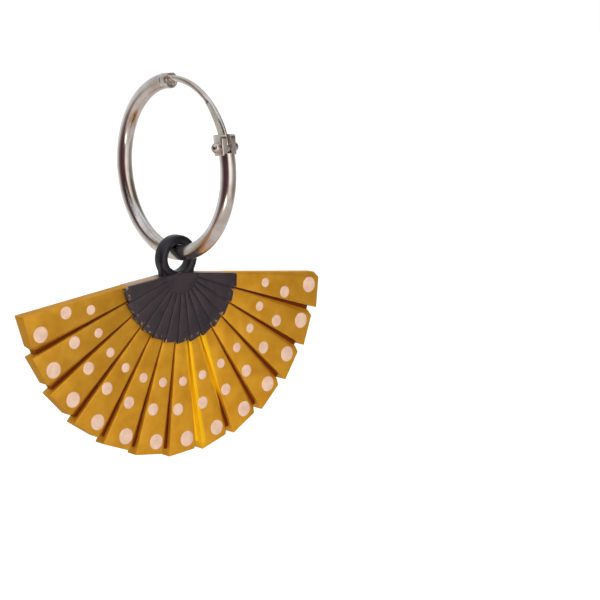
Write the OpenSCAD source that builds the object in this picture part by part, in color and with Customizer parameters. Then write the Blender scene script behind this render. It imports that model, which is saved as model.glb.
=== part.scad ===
// A fan charm that hangs from a hinged hoop earring.
// Millimetres, +Z up. The origin is on the ear wire's centre line at the top of the hoop.
// The hoop lies in the YZ plane. The fan hangs in the XZ plane and faces -Y.

/* [Hoop] */
// Outer diameter of the hoop
hoop_d = 18; // [16:0.5:22]
// Diameter of the hoop's tube
tube_d = 1.5; // [1.4:0.02:1.56]
// Wall of the hollow tube
tube_wall = 0.25; // [0.2:0.05:0.35]
// Angle from the top to the tube's free end, negative away from the hinge
tube_end_a = -2.5; // [-4:0.5:0]

/* [Ear wire] */
// Diameter of the round ear wire
wire_d = 0.58; // [0.5:0.02:0.62]
// How far the wire's centre line lies outside the tube's
wire_out = 0.2; // [0.1:0.02:0.24]
// Length of wire tip that lies in the catch
wire_tip = 0.75; // [0.5:0.05:1]
// Width of the flattened blade beside the hinge, in the hoop's plane
blade_w = 1.12; // [0.94:0.02:1.16]
// Thickness of the blade, across the hoop's plane
blade_t = 0.44; // [0.36:0.02:0.48]

/* [Hinge] */
// Angle from the top to the hinge
hinge_a = 72.5; // [65:0.5:80]
// How far the rivet lies inside the wire's centre line
hinge_in = 0.32; // [0.28:0.02:0.36]
// Angle from the top to where the hoop would run as the straight fork does
fork_a = 84; // [78:1:86]
// Width of the fork across the hoop's plane
fork_w = 1.7; // [1.6:0.05:1.8]
// Depth of the fork in the hoop's plane
fork_h = 1.3; // [1.26:0.02:1.4]
// Diameter of the rivet's shank
rivet_d = 0.56; // [0.5:0.02:0.6]
// Diameter of the rivet's domed heads
rivet_head_d = 0.98; // [0.9:0.02:1.1]

/* [Fan] */
// Number of slats in the fan
slats = 13; // [9:2:17]
// Angle of the whole opened fan
fan_angle = 168.2; // [150:0.2:172]
// Length of a slat from the fan's apex
slat_r = 18.1; // [16:0.1:20]
// How much further in a slat's trailing corner lies than its leading one
slat_skew = 0.3; // [0.1:0.05:0.5]
// Thickness of the fan from its back to the middle of a slat's face
fan_t = 1.4; // [1.2:0.05:1.6]
// Depth of the grooves between the slats
groove_depth = 0.55; // [0.3:0.05:0.7]
// Tilt of each slat's face
slat_tilt = 1.5; // [0.5:0.5:3]

/* [Heart] */
// Radius of the black heart
heart_r = 6.95; // [6.6:0.05:7.4]
// How far the heart's ribs stand proud of the slats
heart_proud = 0.36; // [0.3:0.02:0.5]

/* [Bail] */
// Radius of the bail's round hole
bail_hole_r = 1.29; // [1.2:0.01:1.4]
// Width of the bail's band in the fan's plane
bail_w = 0.92; // [0.84:0.02:1.1]
// Depth of the bail's band across the fan's plane
bail_t = 1.4; // [1.2:0.05:1.4]
// Height of the bail hole's centre over the fan's apex
bail_rise = 1.36; // [1.3:0.01:1.5]

/* [Dots] */
// Diameter of the outer dots
dot_outer_d = 1.55; // [1.2:0.05:1.7]
// Diameter of the middle dots
dot_middle_d = 1.2; // [1:0.05:1.3]
// Diameter of the inner dots
dot_inner_d = 0.94; // [0.8:0.02:1]
// Thickness of the paint dots
dot_t = 0.06; // [0.05:0.01:0.1]

/* [Hidden] */
$fn = 96;
eps = 0.05;
snug = 0.02;

silver = "#C9C7C5";
bright_silver = "#D6D4D2";
mustard = "#BE8A28";
charcoal = "#34323A";
cream = "#E6BE9C";

tube_r = tube_d / 2;
hoop_r = hoop_d / 2 - tube_r;
wire_r = wire_d / 2;
wire_path_r = hoop_r + wire_out;
hoop_z = -wire_path_r;

// Angles round the hoop go from the top towards -Y.
mm_angle = 180 / (PI * hoop_r);
hinge_r = wire_path_r - hinge_in;
hollow_from_a = hinge_a + 2 * mm_angle;
overlap_a = 1;
// How far the fork reaches past the rivet and behind it, and lies outside it
fork_past = 1.22;
fork_behind = 0.74;
fork_out = 0.03;
nose_r = 0.45;
fork_root_a = hinge_a + (fork_behind - 0.06) * mm_angle;
catch_a = tube_end_a + 360;
tip_a = tube_end_a - wire_tip * mm_angle;
collar_l = 0.86;
collar_proud = 0.03;
slit_w = 0.12;
slit_depth = 0.08;
slit_a = catch_a - (collar_l + slit_w / 2) * mm_angle;
notch_a = catch_a - 1.3 * mm_angle;
slot_w = blade_t + 3 * snug;
eye_r = 0.56;
shank_gap = 0.015;
eye_gap = 0.03;
floor_gap = 0.08;
head_h = 0.62;
blade_from_a = 35;
blade_in = 0.16;

slat_step = fan_angle / slats;
apex_z = hoop_z - hoop_r + tube_r + 0.03 - bail_hole_r - bail_rise;
bail_z = apex_z + bail_rise;
back_y = bail_t / 2 - 0.03;
face_y = back_y - fan_t;
plate_y = face_y + groove_depth;
plate_r = slat_r - slat_skew - 0.42;
boss_r = heart_r - 0.75;
heart_y = face_y - 0.1;
rib_y = face_y - heart_proud;
bail_round = 0.4;
rib_from_r = 2;
rib_share = 0.43;
heart_step = 0.16;

// A slat's two sides as shares of a panel from its middle, at the heart and at the rim
side_heart = 0.45;
lead_rim = 0.405;
trail_rim = 0.36;
// Where the slope behind a slat's trailing edge ends: at the rim, at the heart, and at the last slat's rim
slope_foot = 0.49;
heart_foot = 0.475;
last_foot = 0.44;
// How steep that slope is
slope_a = 40;

// Distance from the apex, angle from the slat's middle and diameter of each dot of a slat
DOTS = [
    [16.57, 1.9, dot_outer_d],
    [13.47, -2.2, dot_middle_d],
    [10.76, 0.7, dot_inner_d]
];
DOT_R = 0;
DOT_A = 1;
DOT_D = 2;

// A point at radius r and angle a from straight down, in the fan's plane
function down(r, a) = [r * sin(a), -r * cos(a)];

// Sweeps a profile (outwards, across) round the hoop between two angles.
module around_hoop(from_a, to_a) {
    translate([0, 0, hoop_z])
        rotate([0, -90, 180])
            rotate([0, 0, from_a])
                rotate_extrude(angle = to_a - from_a)
                    children();
}

// Moves to a point of the hoop's plane, with +Z pointing outwards there.
module at_hoop(r, a) {
    translate([0, -r * sin(a), hoop_z + r * cos(a)])
        rotate([a, 0, 0])
            children();
}

// A rectangle with true round corners, w by h, about its middle.
module round_rect(w, h, r) {
    square([w, h - 2 * r], center = true);
    square([w - 2 * r, h], center = true);
    for (x = [r - w / 2, w / 2 - r], y = [r - h / 2, h / 2 - r])
        translate([x, y])
            circle(r);
}

// Moves to the rivet, with +Y along the fork to its open end and +Z outwards.
module at_fork() {
    at_hoop(hinge_r, hinge_a)
        rotate([fork_a - hinge_a, 0, 0])
            children();
}

// The tube's end that holds the blade, before its slot and bore.
module fork_block() {
    at_fork()
        translate([0, -fork_behind, fork_out])
            rotate([-90, 0, 0])
                linear_extrude(fork_past + fork_behind)
                    round_rect(fork_w, fork_h, 0.16);
    around_hoop(fork_root_a, hollow_from_a + overlap_a)
        translate([hoop_r, 0])
            circle(tube_r);
}

// What is cut off to round the outer corner of the fork's open end.
module fork_corner() {
    at_fork()
        translate([0, fork_past - nose_r, fork_out + fork_h / 2 - nose_r])
            rotate([0, 90, 0])
                linear_extrude(2 * fork_w, center = true)
                    difference() {
                        translate([-nose_r - eps, 0])
                            square(nose_r + eps);
                        circle(nose_r);
                    }
}

// The slot that the blade lies in, cut a little deeper than the blade's eye.
module fork_slot() {
    floor_y = -eye_r - floor_gap;
    at_fork()
        translate([-slot_w / 2, floor_y, -fork_h])
            cube([slot_w, fork_past - floor_y + eps, 2 * fork_h]);
}

module rivet_bore() {
    at_hoop(hinge_r, hinge_a)
        rotate([0, 90, 0])
            cylinder(r = rivet_d / 2 + shank_gap, h = 2 * fork_w, center = true);
}

// The notch in the hollow tube's free end, open outwards, where the wire's tip drops in.
module catch_notch() {
    around_hoop(notch_a, catch_a + overlap_a)
        translate([hoop_r, -wire_r - snug])
            square([tube_d, wire_d + 2 * snug]);
}

module catch_collar() {
    around_hoop(catch_a - collar_l * mm_angle, catch_a)
        translate([hoop_r, 0])
            difference() {
                circle(tube_r + collar_proud);
                circle(tube_r - tube_wall);
            }
}

module catch_slit() {
    around_hoop(slit_a - slit_w / 2 * mm_angle, slit_a + slit_w / 2 * mm_angle)
        translate([hoop_r, 0])
            difference() {
                circle(tube_r + 0.2);
                circle(tube_r - slit_depth);
            }
}

module hoop_tube() {
    color(silver)
        difference() {
            union() {
                around_hoop(hollow_from_a, catch_a)
                    translate([hoop_r, 0])
                        difference() {
                            circle(tube_r);
                            circle(tube_r - tube_wall);
                        }
                fork_block();
                catch_collar();
            }
            fork_corner();
            fork_slot();
            rivet_bore();
            catch_notch();
            catch_slit();
        }
}

// One domed head, with its flat side at the origin and its dome towards +Z.
module rivet_head() {
    head_r = rivet_head_d / 2;
    dome_r = (head_r * head_r + head_h * head_h) / (2 * head_h);
    intersection() {
        translate([0, 0, head_h - dome_r])
            sphere(dome_r);
        cylinder(r = head_r, h = head_h);
    }
}

module hinge_rivet() {
    head_x = fork_w / 2 + snug;
    color(bright_silver)
        at_hoop(hinge_r, hinge_a) {
            rotate([0, 90, 0])
                cylinder(d = rivet_d, h = 2 * head_x + eps, center = true);
            for (side = [-1, 1])
                translate([side * head_x, 0, 0])
                    rotate([0, side * 90, 0])
                        rivet_head();
        }
}

// The blade widens and leans in towards the hinge, between two circles off the hoop's centre.
module blade_outline() {
    fall = 1 - cos(hinge_a - blade_from_a);
    outer = blade_w / 2 - blade_in;
    inner = blade_w / 2 + blade_in;
    grow_out = (outer - wire_r) / fall;
    grow_in = (inner - wire_r) / fall;
    intersection() {
        difference() {
            rotate(hinge_a)
                translate([grow_out, 0])
                    circle(wire_path_r + outer - grow_out);
            rotate(hinge_a)
                translate([-grow_in, 0])
                    circle(wire_path_r - inner + grow_in);
        }
        polygon([
            [0, 0],
            2 * wire_path_r * [cos(blade_from_a), sin(blade_from_a)],
            2 * wire_path_r * [cos(hinge_a - 1), sin(hinge_a - 1)]
        ]);
    }
    rotate(hinge_a)
        translate([hinge_r, 0])
            circle(eye_r);
}

module ear_wire() {
    color(bright_silver)
        difference() {
            union() {
                around_hoop(tip_a, blade_from_a + 8)
                    translate([wire_path_r, 0])
                        circle(wire_r);
                translate([0, 0, hoop_z])
                    rotate([0, -90, 180])
                        linear_extrude(blade_t, center = true)
                            blade_outline();
            }
            at_hoop(hinge_r, hinge_a)
                rotate([0, 90, 0])
                    cylinder(r = rivet_d / 2 + eye_gap, h = 2, center = true);
        }
}

// Stands a drawing of the fan's plane up, between two depths, behind first.
module fan_slab(from_y, to_y) {
    translate([0, from_y, apex_z])
        rotate([90, 0, 0])
            linear_extrude(from_y - to_y)
                children();
}

// Turns to panel k, with the slat pointing straight down.
module panel(k) {
    translate([0, 0, apex_z])
        rotate([0, -slat_step * (k - (slats - 1) / 2), 0])
            translate([0, 0, -apex_z])
                children();
}

// A slat's outline: leading corner furthest out, then trailing corner, then the slope's foot.
module slat_outline(foot) {
    polygon([
        down(boss_r - 0.2, -side_heart * slat_step),
        down(slat_r, -lead_rim * slat_step),
        down(slat_r - slat_skew, trail_rim * slat_step),
        down(plate_r + 0.05, foot * slat_step),
        down(boss_r - 0.2, heart_foot * slat_step)
    ]);
}

// The space in front of a slat's face, which tilts about the line at depth y.
module above_face(y) {
    translate([0, y, apex_z])
        rotate([0, 0, slat_tilt])
            translate([-slat_r / 2, -slat_r, -1.5 * slat_r])
                cube([slat_r, slat_r, 2 * slat_r]);
}

// The space in front of the slope that falls from a slat's trailing edge.
module above_slope() {
    rim = down(slat_r - slat_skew, trail_rim * slat_step);
    heart = down(boss_r, side_heart * slat_step);
    edge_a = atan2(rim.x - heart.x, heart.y - rim.y);
    translate([rim.x, face_y, apex_z + rim.y])
        rotate([0, -edge_a, 0])
            rotate([0, 0, slope_a])
                translate([-tube_d / 4, -slat_r, -slat_r])
                    cube([slat_r, slat_r, 2 * slat_r]);
}

// The part of a disc that the opened fan covers.
module fan_sector(r, half_a) {
    intersection() {
        circle(r);
        polygon([
            [0, 0],
            2 * r * [-sin(half_a), -cos(half_a)],
            [-2 * r, -2 * r],
            [2 * r, -2 * r],
            2 * r * [sin(half_a), -cos(half_a)]
        ]);
    }
}

module fan_leaf() {
    plate_half_a = fan_angle / 2 - 0.15 * slat_step;
    color(mustard) {
        fan_slab(back_y - snug, plate_y)
            difference() {
                fan_sector(plate_r, plate_half_a);
                circle(boss_r + snug);
            }
        for (k = [0 : slats - 1])
            panel(k)
                difference() {
                    fan_slab(back_y, face_y - 0.5)
                        difference() {
                            slat_outline(k == slats - 1 ? last_foot : slope_foot);
                            circle(boss_r + snug + eps);
                        }
                    above_face(face_y);
                    above_slope();
                }
    }
}

module bail_loop() {
    translate([0, 0, bail_z])
        rotate([90, 0, 0])
            rotate_extrude()
                translate([bail_hole_r + bail_w / 2, 0])
                    round_rect(bail_w, bail_t, bail_round);
}

// A cylinder along the bail's hole that keeps the hole open.
module bail_hole() {
    translate([0, 0, bail_z])
        rotate([90, 0, 0])
            cylinder(r = bail_hole_r, h = 6, center = true);
}

// Fills the corners under the loop, so that its sides run straight down into the heart.
module bail_foot() {
    half_top = bail_hole_r + bail_w - 0.26;
    half_bottom = half_top - 0.2;
    fan_slab(bail_t / 2 - 0.2, 0.2 - bail_t / 2)
        polygon([
            [-half_top, bail_rise - 0.86],
            [half_top, bail_rise - 0.86],
            [half_bottom, -0.5],
            [-half_bottom, -0.5]
        ]);
}

module heart_ribs() {
    for (k = [0 : slats - 1])
        panel(k)
            difference() {
                fan_slab(heart_y + eps, rib_y - 0.3)
                    polygon([
                        down(rib_from_r, -rib_share * slat_step),
                        down(heart_r, -rib_share * slat_step),
                        down(heart_r - 0.2, rib_share * slat_step),
                        down(rib_from_r, rib_share * slat_step)
                    ]);
                above_face(rib_y);
            }
}

module fan_heart() {
    heart_half_a = fan_angle / 2 - 0.03 * slat_step;
    color(charcoal) {
        difference() {
            union() {
                fan_slab(back_y, heart_y + eps)
                    fan_sector(boss_r, heart_half_a);
                fan_slab(heart_y, heart_y - heart_step)
                    fan_sector(heart_r - 0.3, heart_half_a);
                heart_ribs();
                bail_foot();
            }
            bail_hole();
        }
        bail_loop();
    }
}

module polka_dots() {
    color(cream)
        for (k = [0 : slats - 1], dot = DOTS)
            panel(k)
                translate([0, face_y, apex_z])
                    rotate([0, 0, slat_tilt])
                        translate([dot[DOT_R] * sin(dot[DOT_A]), -0.01, -dot[DOT_R] * cos(dot[DOT_A])])
                            rotate([90, 0, 0])
                                cylinder(d = dot[DOT_D], h = dot_t, $fn = 48);
}

hoop_tube();
hinge_rivet();
ear_wire();
fan_heart();
fan_leaf();
polka_dots();
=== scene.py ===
"""The looks of a fan earring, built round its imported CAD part.

Meshes are shaped in millimetres in the part's own frame and brought to metres at the end.
"""

import math
import random

import bmesh
import bpy
from mathutils import Matrix, Vector


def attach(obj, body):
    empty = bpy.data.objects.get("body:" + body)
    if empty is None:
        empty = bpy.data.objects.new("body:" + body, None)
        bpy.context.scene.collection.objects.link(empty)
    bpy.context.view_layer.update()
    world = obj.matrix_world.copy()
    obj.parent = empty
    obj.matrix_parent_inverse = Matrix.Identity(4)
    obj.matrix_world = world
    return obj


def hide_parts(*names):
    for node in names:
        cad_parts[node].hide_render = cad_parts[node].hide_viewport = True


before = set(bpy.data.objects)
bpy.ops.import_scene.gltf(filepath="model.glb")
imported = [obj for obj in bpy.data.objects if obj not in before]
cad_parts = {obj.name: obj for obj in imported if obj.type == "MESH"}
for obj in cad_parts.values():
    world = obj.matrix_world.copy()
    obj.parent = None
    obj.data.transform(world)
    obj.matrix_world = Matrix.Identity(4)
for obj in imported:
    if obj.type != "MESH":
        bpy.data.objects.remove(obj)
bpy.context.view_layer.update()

MM = 0.001
MICRON = 0.000001

# Hoop, as in the part's source
HOOP_R = 8.25
HOOP_Z = -8.45
TUBE_R = 0.75
BORE_R = 0.5
WIRE_PATH_R = 8.45
WIRE_R = 0.29
DEG_PER_MM = math.degrees(1 / HOOP_R)
TUBE_END_A = 357.5
COLLAR_R = 0.78
COLLAR_L = 0.86
NOTCH_W = 0.62
NOTCH_L = 1.3

# Hinge
HINGE_R = 8.13
HINGE_A = 72.5
FORK_A = 84
FORK_W = 1.7
FORK_H = 1.3
FORK_PAST = 1.22
FORK_BEHIND = 0.74
FORK_OUT = 0.03
NOSE_R = 0.45
SLOT_W = 0.5
SLOT_FLOOR = 0.64
RIVET_R = 0.28
HEAD_R = 0.49
HEAD_H = 0.62
BLADE_FROM_A = 35
BLADE_T = 0.44
EYE_R = 0.56
EYE_GAP = 0.03

# Fan
APEX = Vector((0, 0, -18.57))
SLATS = 13
STEP = math.radians(168.2 / SLATS)
FACE_Y = -0.73
BACK_Y = 0.67
PLATE_Y = -0.18
PLATE_R = 17.38
RIB_Y = -1.09
SLAT_TILT = math.radians(1.5)
SLOPE = math.radians(40)
BAIL_Z = -17.21
BAIL_HOLE_R = 1.29
BAIL_W = 0.92
BAIL_T = 1.4

LEFT = Vector((-1, 0, 0))
RIGHT = Vector((1, 0, 0))
UP = Vector((0, 0, 1))
DOWN = Vector((0, 0, -1))
# The outward normal of a slat's tilted face
TILTED = Vector((math.sin(SLAT_TILT), -math.cos(SLAT_TILT), 0))

# A slat's three dots: distance from the apex, degrees from the slat's middle and diameter
DOTS = ((16.57, 1.9, 1.55), (13.47, -2.2, 1.2), (10.76, 0.7, 0.94))

# Painted highlight stripes along two folds: distance from the apex, degrees from straight down and half the
# width, at both ends
HIGHLIGHT_STRIPES = (
    (7.4, 6.7, 0.42, 17.2, 7.9, 0.46),
    (7.2, 20.6, 0.5, 14.6, 19.1, 0.24),
)

# Stage, in metres. The camera's side is the level direction from the earring to the camera
CAMERA_SIDE = Vector((-0.6488, -0.7610, 0))
CAMERA_LEFT = Vector((-0.7610, 0.6488, 0))
GROUND_Z = -0.1
GROUND_R = 1.2
MAT_Z = -0.0995
ROOM_R = 0.3
ROOM_H = 0.55

# What stands round the earring, by the angle from the camera's side: positive on its left
ROOM = (
    (-180, "#E2E1DF"),
    (-150, "#DEDCD8"),
    (-130, "#A9A7A3"),
    (-98, "#8E857F"),
    (-78, "#948B85"),
    (-60, "#C4C0BA"),
    (-45, "#F4ECE4"),
    (-22, "#FFF8F2"),
    (-13, "#DCC8C2"),
    (-5, "#8A6A6A"),
    (6, "#573A40"),
    (58, "#432E33"),
    (85, "#8A7274"),
    (100, "#B4B2A2"),
    (116, "#D6D6D8"),
    (138, "#DCDCDE"),
    (160, "#E1E1E3"),
    (180, "#E2E1DF"),
)


# Colours and nodes

PRODUCT = {"operation": "MULTIPLY"}


def linear(code):
    """An sRGB hex colour as linear RGBA."""
    parts = [int(code[i : i + 2], 16) / 255 for i in (1, 3, 5)]
    return [p / 12.92 if p <= 0.04045 else ((p + 0.055) / 1.055) ** 2.4 for p in parts] + [1]


def add(tree, kind, settings=None, **links):
    """Adds a node with its settings and links. A socket goes by its name, or by i and its number."""
    node = tree.nodes.new(kind)

    def socket(name):
        return node.inputs[int(name[1:])] if name[0] == "i" and name[1:].isdigit() else node.inputs.get(name)

    for name, value in (settings or {}).items():
        if socket(name) is None:
            setattr(node, name, value)
        else:
            socket(name).default_value = value
    for name, source in links.items():
        tree.links.new(source, socket(name))
    return node


def start_material(name):
    """An empty node material and its tree."""
    made = bpy.data.materials.new(name)
    made.use_nodes = True
    made.node_tree.nodes.clear()
    return made, made.node_tree


def end_material(made, shader):
    """Gives a material its shader."""
    add(made.node_tree, "ShaderNodeOutputMaterial", {}, Surface=shader.outputs[0])
    return made


def round_apex(tree, place):
    """Distance from the fan's apex, and angle from straight down: positive to the right."""
    centred = add(tree, "ShaderNodeVectorMath", {"operation": "SUBTRACT", "i1": APEX * MM}, i0=place)
    level = {"operation": "MULTIPLY", "i1": (1, 0, 1)}
    flat = add(tree, "ShaderNodeVectorMath", level, i0=centred.outputs[0])
    radius = add(tree, "ShaderNodeVectorMath", {"operation": "LENGTH"}, i0=flat.outputs[0])
    parts = add(tree, "ShaderNodeSeparateXYZ", {}, Vector=centred.outputs[0])
    drop = add(tree, "ShaderNodeMath", {"operation": "MULTIPLY", "i1": -1}, i0=parts.outputs["Z"])
    angle = add(tree, "ShaderNodeMath", {"operation": "ARCTAN2"}, i0=parts.outputs["X"], i1=drop.outputs[0])
    return radius.outputs["Value"], angle.outputs[0]


def polished_silver():
    """Sterling silver, tumbled and polished: near-mirror, with hairline scratches and faint tarnish."""
    made, tree = start_material("polished sterling silver")
    place = add(tree, "ShaderNodeTexCoord").outputs["Object"]
    # Tarnish patches about 2 mm across warm and dull the shine a little
    patches = add(tree, "ShaderNodeTexNoise", {"Scale": 500, "Detail": 3, "Roughness": 0.55}, Vector=place)
    tone = add(tree, "ShaderNodeValToRGB", {}, Fac=patches.outputs["Fac"])
    tone.color_ramp.elements[0].position = 0.35
    tone.color_ramp.elements[0].color = linear("#D8CFC6")
    tone.color_ramp.elements[1].position = 0.6
    tone.color_ramp.elements[1].color = linear("#EFEDEB")
    gloss = add(
        tree,
        "ShaderNodeMapRange",
        {"From Min": 0.35, "From Max": 0.65, "To Min": 0.2, "To Max": 0.13},
        Value=patches.outputs["Fac"],
    )
    # Polishing lines 0.05 mm apart, drawn coarser than real ones so that they show
    lines = add(tree, "ShaderNodeTexNoise", {"Scale": 9000, "Detail": 2, "Distortion": 0.4}, Vector=place)
    relief = {"Strength": 0.12, "Distance": 6 * MICRON}
    relief = add(tree, "ShaderNodeBump", relief, Height=lines.outputs["Fac"])
    shader = add(
        tree,
        "ShaderNodeBsdfPrincipled",
        {"Metallic": 1.0},
        **{
            "Base Color": tone.outputs["Color"],
            "Roughness": gloss.outputs["Result"],
            "Normal": relief.outputs["Normal"],
        },
    )
    return end_material(made, shader)


def painted_highlight_stripes(tree, radius, angle):
    """Where two folds of the fan carry a painted highlight stripe, by distance and angle from the apex."""
    total = None
    for near, turned, half, far, turned_far, half_far in HIGHLIGHT_STRIPES:
        # The streak's angle and width follow the distance from the apex
        along = {"From Min": near * MM, "From Max": far * MM}
        middle = {**along, "To Min": math.radians(turned), "To Max": math.radians(turned_far)}
        centre = add(tree, "ShaderNodeMapRange", middle, Value=radius)
        off = add(tree, "ShaderNodeMath", {"operation": "SUBTRACT"}, i0=angle, i1=centre.outputs[0])
        wide = add(tree, "ShaderNodeMath", PRODUCT, i0=off.outputs[0], i1=radius)
        wide = add(tree, "ShaderNodeMath", {"operation": "ABSOLUTE"}, i0=wide.outputs[0])
        halves = {**along, "To Min": half * MM, "To Max": half_far * MM}
        reach = add(tree, "ShaderNodeMapRange", halves, Value=radius)
        share = add(tree, "ShaderNodeMath", {"operation": "DIVIDE"}, i0=wide.outputs[0], i1=reach.outputs[0])
        across = add(
            tree,
            "ShaderNodeMapRange",
            {"From Min": 0.75, "From Max": 1.15, "To Min": 1, "To Max": 0},
            Value=share.outputs[0],
        )
        fade_in = {"From Min": (near - 0.8) * MM, "From Max": near * MM}
        fade_in = add(tree, "ShaderNodeMapRange", fade_in, Value=radius)
        fade_out = {"From Min": far * MM, "From Max": (far + 0.8) * MM, "To Min": 1, "To Max": 0}
        fade_out = add(tree, "ShaderNodeMapRange", fade_out, Value=radius)
        one = across
        for fade in (fade_in, fade_out):
            one = add(tree, "ShaderNodeMath", PRODUCT, i0=one.outputs[0], i1=fade.outputs[0])
        if total is None:
            total = one
        else:
            larger = {"operation": "MAXIMUM"}
            total = add(tree, "ShaderNodeMath", larger, i0=total.outputs[0], i1=one.outputs[0])
    return total


def mustard_enamel():
    """Cold enamel over a cast zinc alloy: satin mustard, with brown in the grooves that is partly settled
    dark paint and partly painted shade.
    """
    made, tree = start_material("mustard cold enamel on cast zinc")
    place = add(tree, "ShaderNodeTexCoord").outputs["Object"]
    axes = add(tree, "ShaderNodeSeparateXYZ", {}, Vector=place)
    radius, angle = round_apex(tree, place)
    # Painted shade with dark paint: browner the deeper a point lies in a groove
    deep = add(
        tree,
        "ShaderNodeMapRange",
        {"From Min": -0.35 * MM, "From Max": -0.19 * MM, "interpolation_type": "SMOOTHSTEP"},
        Value=axes.outputs["Y"],
    )
    # The groove's brown paint and painted shade keep off the rim's end faces, the back and the fan's two
    # straight ends
    inside = add(
        tree,
        "ShaderNodeMapRange",
        {"From Min": 17.32 * MM, "From Max": 17.5 * MM, "To Min": 1, "To Max": 0},
        Value=radius,
    )
    front = add(
        tree,
        "ShaderNodeMapRange",
        {"From Min": 0.5 * MM, "From Max": 0.6 * MM, "To Min": 1, "To Max": 0},
        Value=axes.outputs["Y"],
    )
    apart = add(tree, "ShaderNodeMath", {"operation": "ABSOLUTE"}, i0=angle)
    between = add(
        tree,
        "ShaderNodeMapRange",
        {"From Min": 6.34 * STEP, "From Max": 6.38 * STEP, "To Min": 1, "To Max": 0},
        Value=apart.outputs[0],
    )
    groove_wash_and_shade = deep
    for limit in (inside, front, between):
        groove_wash_and_shade = add(tree, "ShaderNodeMath", PRODUCT, i0=groove_wash_and_shade.outputs[0], i1=limit.outputs[0])
    # Pools of thicker and thinner enamel about 1.5 mm across
    pools = add(tree, "ShaderNodeTexNoise", {"Scale": 650, "Detail": 4, "Roughness": 0.6}, Vector=place)
    tone = add(tree, "ShaderNodeValToRGB", {}, Fac=pools.outputs["Fac"])
    tone.color_ramp.elements[0].position = 0.3
    tone.color_ramp.elements[0].color = linear("#D59525")
    tone.color_ramp.elements[1].position = 0.7
    tone.color_ramp.elements[1].color = linear("#E5AA32")
    # Painted shade: the coat is darker and browner away from the middle slats, towards the fan's two ends
    aside = add(tree, "ShaderNodeMath", {"operation": "SUBTRACT", "i1": 1.5 * STEP}, i0=angle)
    aside = add(tree, "ShaderNodeMath", {"operation": "ABSOLUTE"}, i0=aside.outputs[0])
    painted_end_shade = {"From Min": 0.5 * STEP, "From Max": 6.6 * STEP}
    painted_end_shade = add(tree, "ShaderNodeMapRange", painted_end_shade, Value=aside.outputs[0])
    coat = add(
        tree,
        "ShaderNodeMix",
        {"data_type": "RGBA", "blend_type": "MULTIPLY", "i7": (0.75, 0.77, 1, 1)},
        i0=painted_end_shade.outputs[0],
        i6=tone.outputs["Color"],
    )
    # Painted highlights: two bright stripes along folds, kept to the front
    highlight_mask = painted_highlight_stripes(tree, radius, angle)
    highlight_mask = add(tree, "ShaderNodeMath", PRODUCT, i0=highlight_mask.outputs[0], i1=front.outputs[0])
    # The painted highlight's colour, lighter and yellower deeper in the groove
    low = {"From Min": -0.72 * MM, "From Max": -0.5 * MM}
    low = add(tree, "ShaderNodeMapRange", low, Value=axes.outputs["Y"])
    highlight_tint = add(
        tree,
        "ShaderNodeMix",
        {"data_type": "RGBA", "i6": linear("#F8C21E"), "i7": linear("#FADA2A")},
        i0=low.outputs[0],
    )
    bright = add(
        tree,
        "ShaderNodeMix",
        {"data_type": "RGBA"},
        i0=highlight_mask.outputs[0],
        i6=coat.outputs[2],
        i7=highlight_tint.outputs[2],
    )
    # The groove's brown paint and painted shade stay off the painted highlight stripes
    plain = add(tree, "ShaderNodeMath", {"operation": "SUBTRACT", "i0": 1}, i1=highlight_mask.outputs[0])
    groove_wash_and_shade = add(tree, "ShaderNodeMath", PRODUCT, i0=groove_wash_and_shade.outputs[0], i1=plain.outputs[0])
    # Brown in the grooves: partly settled dark paint, partly painted shade
    painted = add(
        tree,
        "ShaderNodeMix",
        {"data_type": "RGBA", "i7": linear("#7A3A16")},
        i0=groove_wash_and_shade.outputs[0],
        i6=bright.outputs[2],
    )
    # Fine orange-peel of the sprayed coat, 0.25 mm from crest to crest
    peel = add(tree, "ShaderNodeTexNoise", {"Scale": 4000, "Detail": 2}, Vector=place)
    relief = {"Strength": 0.25, "Distance": 12 * MICRON}
    relief = add(tree, "ShaderNodeBump", relief, Height=peel.outputs["Fac"])
    gloss = add(
        tree,
        "ShaderNodeMapRange",
        {"From Min": 0.3, "From Max": 0.7, "To Min": 0.34, "To Max": 0.46},
        Value=pools.outputs["Fac"],
    )
    shader = add(
        tree,
        "ShaderNodeBsdfPrincipled",
        {"Metallic": 0.6, "IOR": 1.5, "Specular Tint": linear("#E8BE6A")},
        **{
            "Base Color": painted.outputs[2],
            "Roughness": gloss.outputs["Result"],
            "Normal": relief.outputs["Normal"],
        },
    )
    return end_material(made, shader)


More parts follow.
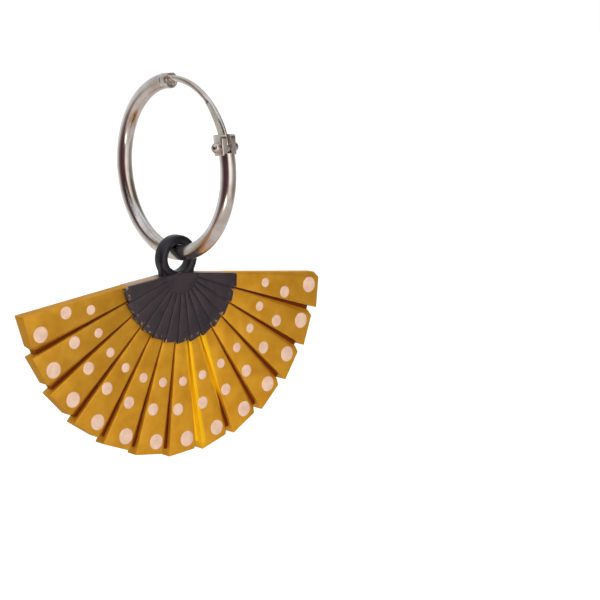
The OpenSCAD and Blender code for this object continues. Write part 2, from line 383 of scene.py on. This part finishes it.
def black_enamel():
    """Cold enamel over cast zinc: glossy near-black, a little violet. The top edge is bare and brassy."""
    made, tree = start_material("black cold enamel on cast zinc")
    place = add(tree, "ShaderNodeTexCoord").outputs["Object"]
    axes = add(tree, "ShaderNodeSeparateXYZ", {}, Vector=place)
    radius, angle = round_apex(tree, place)
    # The loop is darker and bluer than the heart
    loop = {"From Min": -18.75 * MM, "From Max": -18.55 * MM}
    loop = add(tree, "ShaderNodeMapRange", loop, Value=axes.outputs["Z"])
    below = add(tree, "ShaderNodeMath", {"operation": "SUBTRACT", "i0": 1}, i1=loop.outputs[0])
    # The two straight ends are bare from 2.5 mm out, behind the ribs
    apart = add(tree, "ShaderNodeMath", {"operation": "ABSOLUTE"}, i0=angle)
    at_end = {"From Min": 6.4 * STEP, "From Max": 6.46 * STEP}
    at_end = add(tree, "ShaderNodeMapRange", at_end, Value=apart.outputs[0])
    beyond = add(tree, "ShaderNodeMapRange", {"From Min": 2.2 * MM, "From Max": 3 * MM}, Value=radius)
    behind = {"From Min": -0.74 * MM, "From Max": -0.62 * MM}
    behind = add(tree, "ShaderNodeMapRange", behind, Value=axes.outputs["Y"])
    ends = beyond
    for limit in (behind, at_end, below):
        ends = add(tree, "ShaderNodeMath", PRODUCT, i0=ends.outputs[0], i1=limit.outputs[0])
    # Bare specks along the stepped edge: partly paint wear, partly painted glints where the rib ends catch
    # the light
    rim = add(tree, "ShaderNodeMapRange", {"From Min": 6.2 * MM, "From Max": 6.45 * MM}, Value=radius)
    chips_and_glints = add(tree, "ShaderNodeTexNoise", {"Scale": 2600, "Detail": 2}, Vector=place)
    chips_and_glints = add(tree, "ShaderNodeMapRange", {"From Min": 0.6, "From Max": 0.68}, Value=chips_and_glints.outputs["Fac"])
    chips_and_glints = add(tree, "ShaderNodeMath", PRODUCT, i0=chips_and_glints.outputs[0], i1=rim.outputs[0])
    # Bare metal at the ends, together with the worn specks and painted glints at the edge
    bare = add(tree, "ShaderNodeMath", {"operation": "MAXIMUM"}, i0=ends.outputs[0], i1=chips_and_glints.outputs[0])
    cloud = add(tree, "ShaderNodeTexNoise", {"Scale": 700, "Detail": 3}, Vector=place)
    tone = add(tree, "ShaderNodeValToRGB", {}, Fac=cloud.outputs["Fac"])
    tone.color_ramp.elements[0].position = 0.35
    tone.color_ramp.elements[0].color = linear("#242027")
    tone.color_ramp.elements[1].position = 0.7
    tone.color_ramp.elements[1].color = linear("#31262E")
    coat = add(
        tree,
        "ShaderNodeMix",
        {"data_type": "RGBA", "i7": linear("#0D0D18")},
        i0=loop.outputs[0],
        i6=tone.outputs["Color"],
    )
    painted = add(
        tree,
        "ShaderNodeMix",
        {"data_type": "RGBA", "i7": linear("#B8926A")},
        i0=bare.outputs[0],
        i6=coat.outputs[2],
    )
    metal = add(tree, "ShaderNodeMath", {"operation": "MULTIPLY", "i1": 0.7}, i0=bare.outputs[0])
    peel = add(tree, "ShaderNodeTexNoise", {"Scale": 3000, "Detail": 2}, Vector=place)
    relief = {"Strength": 0.2, "Distance": 10 * MICRON}
    relief = add(tree, "ShaderNodeBump", relief, Height=peel.outputs["Fac"])
    gloss = add(
        tree,
        "ShaderNodeMapRange",
        {"From Min": 0.3, "From Max": 0.7, "To Min": 0.26, "To Max": 0.36},
        Value=cloud.outputs["Fac"],
    )
    shader = add(
        tree,
        "ShaderNodeBsdfPrincipled",
        {"IOR": 1.5},
        **{
            "Base Color": painted.outputs[2],
            "Metallic": metal.outputs[0],
            "Roughness": gloss.outputs["Result"],
            "Normal": relief.outputs["Normal"],
        },
    )
    return end_material(made, shader)


def cream_paint():
    """Cream enamel paint dabbed on in dots: opaque, pinkish cream, softly glossy."""
    made, tree = start_material("cream enamel paint")
    place = add(tree, "ShaderNodeTexCoord").outputs["Object"]
    dabs = add(tree, "ShaderNodeTexNoise", {"Scale": 1200, "Detail": 3}, Vector=place)
    tone = add(tree, "ShaderNodeValToRGB", {}, Fac=dabs.outputs["Fac"])
    tone.color_ramp.elements[0].position = 0.35
    tone.color_ramp.elements[0].color = linear("#C6A592")
    tone.color_ramp.elements[1].position = 0.65
    tone.color_ramp.elements[1].color = linear("#D3B5A0")
    peel = add(tree, "ShaderNodeTexNoise", {"Scale": 5000, "Detail": 2}, Vector=place)
    relief = {"Strength": 0.2, "Distance": 8 * MICRON}
    relief = add(tree, "ShaderNodeBump", relief, Height=peel.outputs["Fac"])
    shader = add(
        tree,
        "ShaderNodeBsdfPrincipled",
        {"Roughness": 0.42, "IOR": 1.5},
        **{"Base Color": tone.outputs["Color"], "Normal": relief.outputs["Normal"]},
    )
    return end_material(made, shader)


def sweep_paper():
    """Matt white paper."""
    made, tree = start_material("white paper sweep")
    shader = add(tree, "ShaderNodeBsdfPrincipled", {"Base Color": linear("#F0F0F0"), "Roughness": 0.9})
    return end_material(made, shader)


# Shaping


def turn(degrees, axis):
    """A turn about one of the axes."""
    return Matrix.Rotation(math.radians(degrees), 4, axis)


def move(x, y, z):
    """A shift in millimetres."""
    return Matrix.Translation((x, y, z))


def spread(start, end, count):
    """Evenly spaced values from start to end, both included."""
    return [start + (end - start) * i / count for i in range(count + 1)]


def ease(value, start, end):
    """Rises smoothly from 0 to 1 between start and end."""
    t = min(1.0, max(0.0, (value - start) / (end - start)))
    return t * t * (3 - 2 * t)


def on_hoop(a, r, wide, tall):
    """Places a unit circle square to the hoop at angle a: wide across its plane, tall in it."""
    return (
        move(0, 0, HOOP_Z)
        @ turn(a, "X")
        @ move(0, 0, r)
        @ turn(90, "X")
        @ Matrix.Diagonal((wide, tall, 1, 1))
    )


def skin(bm, stations, count):
    """Draws a circle out through the stations, closed at both ends."""
    circle = bmesh.ops.create_circle(bm, segments=count, radius=1, matrix=stations[0])["verts"]
    # In a fixed order, so that every run draws the same faces
    edges = list(dict.fromkeys(e for v in circle for e in v.link_edges))
    ends = [edges]
    for before, after in zip(stations, stations[1:]):
        grown = bmesh.ops.extrude_edge_only(bm, edges=edges)["geom"]
        verts = [g for g in grown if isinstance(g, bmesh.types.BMVert)]
        fresh = set(verts)
        edges = [g for g in grown if isinstance(g, bmesh.types.BMEdge) and set(g.verts) <= fresh]
        bmesh.ops.transform(bm, matrix=after @ before.inverted(), verts=verts)
    ends.append(edges)
    for rim in ends:
        bmesh.ops.edgeloop_fill(bm, edges=rim)


def bend_edges(bm, degrees):
    """Edges where two faces meet at more than the angle."""
    return [e for e in bm.edges if len(e.link_faces) == 2 and e.calc_face_angle(0) > math.radians(degrees)]


def soften(bm, width, degrees=25, segments=3):
    """Rounds the edges that are sharper than the angle."""
    bmesh.ops.bevel(
        bm,
        geom=bend_edges(bm, degrees),
        offset=width,
        offset_type="OFFSET",
        affect="EDGES",
        segments=segments,
        profile=0.5,
        material=-1,
        clamp_overlap=True,
    )


def trim(bm, point, normal):
    """Cuts away what lies in front of a plane and closes the cut."""
    geom = list(bm.verts) + list(bm.edges) + list(bm.faces)
    cut = bmesh.ops.bisect_plane(
        bm, geom=geom, dist=1e-5, plane_co=point, plane_no=normal, clear_outer=True
    )["geom_cut"]
    edges = [g for g in cut if isinstance(g, bmesh.types.BMEdge)]
    if edges and any(len(e.link_faces) == 1 for e in edges):
        bmesh.ops.edgeloop_fill(bm, edges=edges)


def block(bm, size, matrix):
    """A box of three sizes, placed by its middle."""
    bmesh.ops.create_cube(bm, size=1, matrix=matrix @ Matrix.Diagonal((*size, 1)))


def raw(bm, name):
    """A plain mesh object in millimetres, for cutting or joining."""
    bmesh.ops.recalc_face_normals(bm, faces=bm.faces)
    mesh = bpy.data.meshes.new(name)
    bm.to_mesh(mesh)
    bm.free()
    thing = bpy.data.objects.new(name, mesh)
    bpy.context.scene.collection.objects.link(thing)
    return thing


def combine(base, other, operation):
    """Joins other to base or cuts it out, and takes other away."""
    step = base.modifiers.new(operation.lower(), "BOOLEAN")
    step.operation = operation
    step.solver = "EXACT"
    step.object = other
    mesh = bpy.data.meshes.new_from_object(base.evaluated_get(bpy.context.evaluated_depsgraph_get()))
    base.modifiers.clear()
    old = base.data
    base.data = mesh
    bpy.data.meshes.remove(old)
    bpy.data.objects.remove(other)
    return base


def finish(bm, name, material, body, replaces, smooth=32):
    """Brings a shape to metres, smooths it but for its sharp edges, and rides it on its body."""
    bmesh.ops.remove_doubles(bm, verts=bm.verts, dist=0.0004)
    bmesh.ops.recalc_face_normals(bm, faces=bm.faces)
    for face in bm.faces:
        face.smooth = True
    for edge in bm.edges:
        edge.smooth = len(edge.link_faces) == 2 and edge.calc_face_angle(0) < math.radians(smooth)
    bmesh.ops.scale(bm, vec=(MM, MM, MM), verts=bm.verts)
    mesh = bpy.data.meshes.new(name)
    bm.to_mesh(mesh)
    bm.free()
    mesh.materials.append(material)
    piece = bpy.data.objects.new(name, mesh)
    bpy.context.scene.collection.objects.link(piece)
    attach(piece, body)
    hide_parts(replaces)
    return piece


def opened(thing):
    """The bmesh of a raw object, which is taken away."""
    bm = bmesh.new()
    bm.from_mesh(thing.data)
    mesh = thing.data
    bpy.data.objects.remove(thing)
    bpy.data.meshes.remove(mesh)
    return bm


# Hoop


def hinge_place():
    """The rivet's middle, with Z outwards there."""
    return move(0, 0, HOOP_Z) @ turn(HINGE_A, "X") @ move(0, 0, HINGE_R)


def fork_place():
    """The rivet's middle, with Y along the fork to its open end and Z outwards."""
    return hinge_place() @ turn(FORK_A - HINGE_A, "X")


def hoop_tube(silver):
    """The hollow tube with its collar and catch notch, and the slotted fork at the other end."""
    slit_a = TUBE_END_A - (COLLAR_L + 0.06) * DEG_PER_MM
    root_a = HINGE_A + 0.68 * DEG_PER_MM
    stations = [on_hoop(a, HOOP_R, TUBE_R, TUBE_R) for a in spread(root_a, slit_a - 0.6, 150)]
    # The groove behind the collar, the collar, its round lip and the bore
    lip = [
        (-COLLAR_L - 0.12, TUBE_R),
        (-COLLAR_L - 0.09, 0.7),
        (-COLLAR_L - 0.04, 0.67),
        (-COLLAR_L, 0.69),
        (-COLLAR_L + 0.02, 0.75),
        (-COLLAR_L + 0.06, COLLAR_R),
        (-0.4, COLLAR_R),
        (-0.08, COLLAR_R),
        (-0.03, 0.765),
        (0, 0.73),
        (0.001, 0.57),
        (-0.02, 0.52),
        (-0.06, BORE_R),
        (-0.12, BORE_R),
        (-0.2, BORE_R),
    ]
    stations += [on_hoop(TUBE_END_A + along * DEG_PER_MM, HOOP_R, r, r) for along, r in lip]
    bm = bmesh.new()
    skin(bm, stations, 48)
    tube = raw(bm, "tube")

    bm = bmesh.new()
    length = FORK_PAST + FORK_BEHIND
    middle = fork_place() @ move(0, (FORK_PAST - FORK_BEHIND) / 2, FORK_OUT)
    block(bm, (FORK_W, length, FORK_H), middle)
    soften(bm, 0.13)
    tube = combine(tube, raw(bm, "fork"), "UNION")

    bm = bmesh.new()
    corner = fork_place() @ move(0, FORK_PAST - NOSE_R, FORK_OUT + FORK_H / 2 - NOSE_R)
    block(bm, (3, 1, 1), corner @ move(0, 0.5, 0.5))
    nose = raw(bm, "corner")
    bm = bmesh.new()
    round_place = corner @ turn(90, "Y") @ Matrix.Diagonal((NOSE_R, NOSE_R, 1, 1))
    skin(bm, [move(x, 0, 0) @ round_place for x in (-2, 2)], 64)
    nose = combine(nose, raw(bm, "round"), "DIFFERENCE")
    tube = combine(tube, nose, "DIFFERENCE")

    bm = bmesh.new()
    depth = FORK_PAST + SLOT_FLOOR + 1
    block(bm, (SLOT_W, depth, 3), fork_place() @ move(0, depth / 2 - SLOT_FLOOR, 0))
    tube = combine(tube, raw(bm, "slot"), "DIFFERENCE")

    bm = bmesh.new()
    mouth = on_hoop(TUBE_END_A, HOOP_R, 1, 1) @ move(0, 0.75, -NOTCH_L / 2)
    block(bm, (NOTCH_W, 1.5, NOTCH_L + 0.4), mouth @ move(0, 0, 0.2))
    tube = combine(tube, raw(bm, "notch"), "DIFFERENCE")
    finish(opened(tube), "tube_with_fork", silver, "hoop", "hoop_tube")


def on_rivet(x, r):
    """Places a unit circle square to the rivet, x from its middle."""
    return hinge_place() @ move(x, 0, 0) @ turn(90, "Y") @ Matrix.Diagonal((r, r, 1, 1))


def hinge_rivet(silver):
    """A peened rivet: a straight shank and two domed heads."""
    dome_r = (HEAD_R**2 + HEAD_H**2) / (2 * HEAD_H)
    cheek = FORK_W / 2 + 0.02
    half = [(0, RIVET_R), (cheek, RIVET_R), (cheek + 0.001, HEAD_R - 0.04), (cheek + 0.03, HEAD_R)]
    for h in (0.12, 0.24, 0.34, 0.42, 0.49, 0.54, 0.58, 0.605, 0.616):
        r = math.sqrt(dome_r**2 - (h - (HEAD_H - dome_r)) ** 2)
        half.append((cheek + h, min(HEAD_R, r)))
    profile = [(-x, r) for x, r in reversed(half)] + half[1:]
    bm = bmesh.new()
    skin(bm, [on_rivet(x, r) for x, r in profile], 40)
    finish(bm, "domed_rivet", silver, "hoop", "hinge_rivet")


def ear_wire(silver):
    """Round wire, rolled flat and wide to a blade with an eye at the rivet."""
    tip_a = TUBE_END_A - 360 - 0.75 * DEG_PER_MM
    stations = []
    for t in (0.06, 0.3, 0.55, 0.78, 0.94, 1):
        a = tip_a + (1 - math.sqrt(1 - min(t, 0.999) ** 2)) * WIRE_R * DEG_PER_MM
        stations.append(on_hoop(a, WIRE_PATH_R, WIRE_R * t, WIRE_R * t))
    fall = 1 - math.cos(math.radians(HINGE_A - BLADE_FROM_A))
    for a in spread(tip_a + 3, HINGE_A - 0.5, 90):
        grow = 0.0
        if a > BLADE_FROM_A:
            grow = max(0.0, (math.cos(math.radians(a - HINGE_A)) - 1 + fall) / fall)
        outer = WIRE_PATH_R + WIRE_R + 0.11 * grow
        inner = WIRE_PATH_R - WIRE_R - 0.43 * grow
        middle = (outer + inner) / 2
        middle += (HINGE_R + 0.03 - middle) * ease(a, 60, HINGE_A)
        stations.append(on_hoop(a, middle, WIRE_R, (outer - inner) / 2))
    bm = bmesh.new()
    skin(bm, stations, 40)
    flat = BLADE_T / 2
    for v in bm.verts:
        a = math.degrees(math.atan2(-v.co.y, v.co.z - HOOP_Z))
        v.co.x *= 1 + ease(a, 40, 60) * (1.5 * flat / WIRE_R - 1)
        v.co.x = max(-flat, min(flat, v.co.x)) if a > 40 else v.co.x
    wire = raw(bm, "wire")

    bm = bmesh.new()
    flat += 0.006
    rim = [(-flat, EYE_R - 0.05), (-flat + 0.04, EYE_R), (flat - 0.04, EYE_R), (flat, EYE_R - 0.05)]
    skin(bm, [on_rivet(x, r) for x, r in rim], 48)
    wire = combine(wire, raw(bm, "eye"), "UNION")

    bm = bmesh.new()
    skin(bm, [on_rivet(x, RIVET_R + EYE_GAP) for x in (-1, 1)], 40)
    wire = combine(wire, raw(bm, "eye hole"), "DIFFERENCE")
    finish(opened(wire), "wire_with_blade", silver, "ear_wire", "ear_wire")


# Fan


def down(r, share):
    """A point of the fan's plane, from the apex: radius r, share of a panel to the side of its middle."""
    return Vector((r * math.sin(share * STEP), 0, -r * math.cos(share * STEP)))


def facing(start, end, toward):
    """The normal of the upright plane through two points, on the side that a direction points to."""
    way = (end - start).normalized()
    normal = Vector((-way.z, 0, way.x))
    return normal if normal.dot(toward) > 0 else -normal


def sector(bm, r, half_angle, back, front, segments=200):
    """A slab of the opened fan's shape: a round plate cut off by two lines through the apex."""
    place = move(0, back, 0) @ turn(90, "X")
    bmesh.ops.create_circle(bm, segments=segments, radius=r, cap_ends=True, cap_tris=True, matrix=place)
    for side in (-1, 1):
        normal = Vector((side * math.cos(half_angle), 0, math.sin(half_angle)))
        geom = list(bm.verts) + list(bm.edges) + list(bm.faces)
        bmesh.ops.bisect_plane(
            bm, geom=geom, dist=1e-5, plane_co=(0, 0, 0), plane_no=normal, clear_outer=True
        )
    grown = bmesh.ops.extrude_face_region(bm, geom=list(bm.faces))["geom"]
    verts = [g for g in grown if isinstance(g, bmesh.types.BMVert)]
    bmesh.ops.translate(bm, vec=(0, front - back, 0), verts=verts)


def baked(bm):
    """The mesh of a finished shape."""
    bmesh.ops.recalc_face_normals(bm, faces=bm.faces)
    mesh = bpy.data.meshes.new("part")
    bm.to_mesh(mesh)
    bm.free()
    return mesh


def join(bm, other):
    """Adds one shape to another."""
    mesh = baked(other)
    bm.from_mesh(mesh)
    bpy.data.meshes.remove(mesh)


def fan_part(shape):
    """The mesh of one shape, built at the apex, for repeating round the fan."""
    bm = bmesh.new()
    shape(bm)
    return baked(bm)


def lay(bm, mesh, matrix):
    """Adds a mesh to a shape, placed."""
    placed = mesh.copy()
    placed.transform(matrix)
    bm.from_mesh(placed)
    bpy.data.meshes.remove(placed)


def panel(k):
    """Turns panel 6, which points straight down, to panel k."""
    return Matrix.Rotation(-STEP * (k - (SLATS - 1) / 2), 4, "Y")


def slat(bm):
    """One slat: a steep leading wall, a face tilted to it, and a slope that falls to the next groove."""
    lead_in, lead_out = down(6, -0.45), down(18.1, -0.405)
    trail_in, trail_out = down(6.2, 0.45), down(17.8, 0.36)
    foot_in, foot_out = down(6, 0.475), down(17.43, 0.49)
    block(bm, (8, 4, 30), move(0, 0, -12))
    trim(bm, lead_in, facing(lead_out, lead_in, LEFT))
    trim(bm, lead_out, facing(lead_out, trail_out, DOWN))
    trim(bm, trail_out, facing(trail_out, foot_out, DOWN))
    trim(bm, foot_out, facing(foot_in, foot_out, RIGHT))
    trim(bm, Vector((0, 0, -5.6)), UP)
    trim(bm, Vector((0, BACK_Y, 0)), Vector((0, 1, 0)))
    trim(bm, Vector((0, FACE_Y, 0)), TILTED)
    out = facing(trail_in, trail_out, RIGHT)
    slope = out * math.sin(SLOPE) - Vector((0, 1, 0)) * math.cos(SLOPE)
    trim(bm, trail_out + Vector((0, FACE_Y, 0)), slope)
    soften(bm, 0.07)


def fan_leaf(enamel):
    """Thirteen slats stepped one over the next, on a plate that is the grooves' floor."""
    one = fan_part(slat)
    bm = bmesh.new()
    sector(bm, PLATE_R, 6.35 * STEP, BACK_Y - 0.02, PLATE_Y)
    dice = random.Random(7)
    for k in range(SLATS):
        wobble = turn(dice.uniform(-0.25, 0.25), "Z")
        lay(bm, one, panel(k) @ wobble)
    bpy.data.meshes.remove(one)
    bmesh.ops.translate(bm, vec=APEX, verts=bm.verts)
    finish(bm, "stepped_leaf", enamel, "fan", "fan_leaf")


def rib(bm):
    """One raised rib of the heart, tapered to the middle, with a slanted end."""
    block(bm, (4, 1.2, 10), move(0, -0.9, -5))
    lead_in, lead_out = down(2, -0.43), down(6.95, -0.43)
    trail_in, trail_out = down(2, 0.43), down(6.75, 0.43)
    trim(bm, lead_in, facing(lead_in, lead_out, LEFT))
    trim(bm, trail_in, facing(trail_in, trail_out, RIGHT))
    trim(bm, lead_out, facing(lead_out, trail_out, DOWN))
    trim(bm, lead_in, facing(lead_in, trail_in, UP))
    trim(bm, Vector((0, -0.72, 0)), Vector((0, 1, 0)))
    trim(bm, Vector((0, RIB_Y, 0)), TILTED)
    soften(bm, 0.08)


def fan_heart(enamel):
    """The heart's plates and ribs, and the bail loop that stands on them."""
    one = fan_part(rib)
    bm = bmesh.new()
    for r, back, front in ((6.2, BACK_Y, -0.8), (6.65, -0.74, -0.99)):
        plate = bmesh.new()
        sector(plate, r, 6.47 * STEP, back, front, 160)
        soften(plate, 0.09)
        join(bm, plate)
    for k in range(SLATS):
        lay(bm, one, panel(k))
    bpy.data.meshes.remove(one)
    join(bm, bail_foot())
    bmesh.ops.translate(bm, vec=APEX, verts=bm.verts)
    bail_loop(bm)
    finish(bm, "ribbed_heart", enamel, "fan", "fan_heart")


def bail_foot():
    """Fills the corners under the loop, so that its sides run straight down into the heart."""
    foot = bmesh.new()
    block(foot, (8, 1, 1), Matrix())
    for side in (-1, 1):
        trim(foot, Vector((side * 1.95, 0, 0.5)), Vector((side, 0, -0.2)))
    soften(foot, 0.12)
    hole = bmesh.new()
    centre = BAIL_Z - APEX.z
    around = turn(90, "X") @ Matrix.Diagonal((BAIL_HOLE_R + 0.02, BAIL_HOLE_R + 0.02, 1, 1))
    skin(hole, [move(0, y, centre) @ around for y in (-2, 2)], 96)
    return opened(combine(raw(foot, "foot"), raw(hole, "hole"), "DIFFERENCE"))


def bail_loop(bm):
    """A ring of rounded flat section round the hole for the hoop."""
    ring = bmesh.new()
    place = move(BAIL_HOLE_R + BAIL_W / 2, 0, BAIL_Z) @ Matrix.Diagonal((BAIL_W, BAIL_T, 1, 1))
    bmesh.ops.create_grid(ring, x_segments=1, y_segments=1, size=0.5, matrix=place)
    bmesh.ops.bevel(
        ring,
        geom=list(ring.verts),
        offset=0.4,
        offset_type="OFFSET",
        affect="VERTICES",
        segments=7,
        profile=0.5,
        material=-1,
    )
    bmesh.ops.delete(ring, geom=list(ring.faces), context="FACES_ONLY")
    bmesh.ops.spin(
        ring,
        geom=list(ring.verts) + list(ring.edges),
        cent=(0, 0, BAIL_Z),
        axis=(0, 1, 0),
        angle=math.tau,
        steps=96,
        use_merge=True,
    )
    join(bm, ring)


def polka_dots(paint):
    """Three low domes of paint on each slat, the outer ones largest."""
    bm = bmesh.new()
    dice = random.Random(3)
    dome = [(-0.02, 1), (0.02, 1), (0.045, 0.95), (0.058, 0.82), (0.064, 0.55), (0.066, 0.2)]
    for k in range(SLATS):
        for r, aside, wide in DOTS:
            half = wide * dice.uniform(0.975, 1.025) / 2
            spot = (
                move(*APEX)
                @ panel(k)
                @ move(0, FACE_Y, 0)
                @ Matrix.Rotation(SLAT_TILT, 4, "Z")
                @ move(r * math.sin(math.radians(aside)), 0, -r * math.cos(math.radians(aside)))
                @ turn(90, "X")
            )
            rings = [spot @ move(0, 0, h) @ Matrix.Diagonal((half * s, half * s, 1, 1)) for h, s in dome]
            skin(bm, rings, 36)
    finish(bm, "painted_dots", paint, "fan", "polka_dots")


# Stage


def spun(bm, steps):
    """Spins a profile all the way round the upright axis."""
    geom = list(bm.verts) + list(bm.edges)
    bmesh.ops.spin(
        bm, geom=geom, cent=(0, 0, 0), axis=(0, 0, 1), angle=math.tau, steps=steps, use_merge=True
    )
    bmesh.ops.remove_doubles(bm, verts=bm.verts, dist=1e-5)


def sweep(paper):
    """A round paper ground that curves up into a low wall on every side."""
    bm = bmesh.new()
    start = bm.verts.new((0, 0, GROUND_Z))
    out = bmesh.ops.extrude_vert_indiv(bm, verts=[start])["verts"]
    bmesh.ops.translate(bm, vec=(GROUND_R, 0, 0), verts=out)
    centre = (GROUND_R, 0, GROUND_Z + 0.8)
    bmesh.ops.spin(bm, geom=out, cent=centre, axis=(0, -1, 0), angle=math.radians(80), steps=20)
    spun(bm, 96)
    bmesh.ops.recalc_face_normals(bm, faces=bm.faces)
    bmesh.ops.reverse_faces(bm, faces=bm.faces)
    for face in bm.faces:
        face.smooth = True
    mesh = bpy.data.meshes.new("sweep")
    bm.to_mesh(mesh)
    bm.free()
    mesh.materials.append(paper)
    floor = bpy.data.objects.new("sweep", mesh)
    bpy.context.scene.collection.objects.link(floor)


def round_camera(side, away, height):
    """A point round the earring: side is the angle from the camera's side, positive to its left."""
    a = math.radians(side)
    toward = CAMERA_SIDE * math.cos(a) + CAMERA_LEFT * math.sin(a)
    return toward * away + Vector((0, 0, height))


def softbox(name, where, aim, wide, tall, power, tint="#FFFFFF"):
    """A soft rectangular light that faces a point."""
    lamp = bpy.data.lights.new(name, "AREA")
    lamp.shape = "RECTANGLE"
    lamp.size = wide
    lamp.size_y = tall
    lamp.energy = power
    lamp.color = linear(tint)[:3]
    thing = bpy.data.objects.new(name, lamp)
    thing.location = where
    thing.rotation_euler = (Vector(aim) - Vector(where)).to_track_quat("-Z", "Y").to_euler()
    bpy.context.scene.collection.objects.link(thing)


def room_glow():
    """A soft glow, coloured by its direction from the earring."""
    made, tree = start_material("room")
    place = add(tree, "ShaderNodeTexCoord").outputs["Object"]
    axes = add(tree, "ShaderNodeSeparateXYZ", {}, Vector=place)
    angle = add(tree, "ShaderNodeMath", {"operation": "ARCTAN2"}, i0=axes.outputs["Y"], i1=axes.outputs["X"])
    share = {"From Min": math.pi, "From Max": -math.pi}
    share = add(tree, "ShaderNodeMapRange", share, Value=angle.outputs[0])
    ramp = add(tree, "ShaderNodeValToRGB", {}, Fac=share.outputs["Result"])
    stops = ramp.color_ramp.elements
    stops[0].color = linear(ROOM[0][1])
    stops[1].color = linear(ROOM[-1][1])
    for side, tint in ROOM[1:-1]:
        stops.new((side + 180) / 360).color = linear(tint)
    # Dark things get darker with height
    depth = add(
        tree,
        "ShaderNodeMapRange",
        {"From Min": 0.0, "From Max": 0.12, "To Min": 1.0, "To Max": 1.9},
        Value=axes.outputs["Z"],
    )
    sides = add(tree, "ShaderNodeGamma", {}, Color=ramp.outputs["Color"], Gamma=depth.outputs["Result"])
    # The sides' colours run on over the outer part of the mat
    level = add(tree, "ShaderNodeVectorMath", {"operation": "MULTIPLY", "i1": (1, 1, 0)}, i0=place)
    away = add(tree, "ShaderNodeVectorMath", {"operation": "LENGTH"}, i0=level.outputs[0])
    outer = add(tree, "ShaderNodeMapRange", {"From Min": 0.14, "From Max": 0.2}, Value=away.outputs["Value"])
    shown = add(
        tree,
        "ShaderNodeMix",
        {"data_type": "RGBA", "i6": linear("#C4BAB6")},
        i0=outer.outputs[0],
        i7=sides.outputs["Color"],
    )
    # A bright patch on the mat gives the small lights on the hoop, and a pale one is high on the wall
    for spot, within, fades, tint in (
        ((0.15, -0.016, MAT_Z), 0.028, 0.04, (2.6, 2.3, 1.9, 1)),
        ((0.0927, -0.2853, 0.27), 0.1, 0.15, linear("#C8C2BE")),
    ):
        near = add(tree, "ShaderNodeVectorMath", {"operation": "DISTANCE", "i1": spot}, i0=place)
        patch = add(
            tree,
            "ShaderNodeMapRange",
            {"From Min": within, "From Max": fades, "To Min": 1, "To Max": 0},
            Value=near.outputs["Value"],
        )
        mix = {"data_type": "RGBA", "i7": tint}
        shown = add(tree, "ShaderNodeMix", mix, i0=patch.outputs[0], i6=shown.outputs[2])
    lid = add(tree, "ShaderNodeMapRange", {"From Min": 0.25, "From Max": 0.45}, Value=axes.outputs["Z"])
    mix = {"data_type": "RGBA", "i7": linear("#D0D0D6")}
    shown = add(tree, "ShaderNodeMix", mix, i0=lid.outputs[0], i6=shown.outputs[2])
    return end_material(made, add(tree, "ShaderNodeEmission", {"Strength": 1.0}, Color=shown.outputs[2]))


def room():
    """A mat, a wall and a lid that only the earring's shine sees. Its X axis points to the camera's side."""
    bm = bmesh.new()
    end = bm.verts.new((0, 0, MAT_Z))
    for step in ((-ROOM_R, 0, 0), (0, 0, ROOM_H), (ROOM_R, 0, 0)):
        end = bmesh.ops.extrude_vert_indiv(bm, verts=[end])["verts"][0]
        bmesh.ops.translate(bm, vec=step, verts=[end])
    spun(bm, 72)
    mesh = bpy.data.meshes.new("room")
    bm.to_mesh(mesh)
    bm.free()
    mesh.materials.append(room_glow())
    wall = bpy.data.objects.new("room", mesh)
    wall.rotation_euler = (0, 0, math.atan2(CAMERA_SIDE.y, CAMERA_SIDE.x))
    wall.visible_camera = False
    wall.visible_diffuse = False
    wall.visible_shadow = False
    bpy.context.scene.collection.objects.link(wall)


def light_stage():
    """A pale soft room, five soft lights and what the metal reflects."""
    world = bpy.data.worlds.new("soft room")
    world.use_nodes = True
    world.node_tree.nodes["Background"].inputs["Color"].default_value = linear("#F1F1F4")
    world.node_tree.nodes["Background"].inputs["Strength"].default_value = 0.42
    bpy.context.scene.world = world
    centre = (0, 0, -0.02)
    softbox("key from the upper left", round_camera(35, 0.5, 0.42), centre, 0.28, 0.28, 2.4)
    softbox("top light", (0.02, 0.05, 0.6), centre, 0.4, 0.4, 1.3)
    softbox("back light", round_camera(125, 0.4, 0.2), centre, 0.15, 0.15, 0.3, "#FFE9C4")
    softbox("front light", round_camera(-35, 0.6, 0.12), centre, 0.3, 0.3, 1.8, "#FFF4E4")
    softbox("background light", round_camera(180, 0.9, 0.8), round_camera(180, 1.0, -0.1), 1.2, 1.2, 11)
    for name in ("top light", "back light", "background light"):
        bpy.data.objects[name].visible_glossy = False
    room()


def camera():
    """Stands where the fan is seen from 37 degrees to its left and 9 degrees above."""
    lens = bpy.data.cameras.new("camera")
    lens.lens = 118.0
    lens.sensor_width = 36
    lens.clip_start = 0.01
    lens.clip_end = 20
    eye = bpy.data.objects.new("camera", lens)
    forward = Vector((0.63860371, 0.74913249, -0.17602791))
    right = Vector((0.76092466, -0.64883977, -0.00078194))
    up = right.cross(forward)
    turned = Matrix((right, up, -forward)).transposed().to_4x4()
    eye.matrix_world = move(-0.112454, -0.150355, 0.012112) @ turned
    bpy.context.scene.collection.objects.link(eye)
    bpy.context.scene.camera = eye


# Everything together


silver = polished_silver()
hoop_tube(silver)
hinge_rivet(silver)
ear_wire(silver)
fan_leaf(mustard_enamel())
fan_heart(black_enamel())
polka_dots(cream_paint())
sweep(sweep_paper())
light_stage()
camera()
bpy.context.scene.view_settings.view_transform = "Standard"
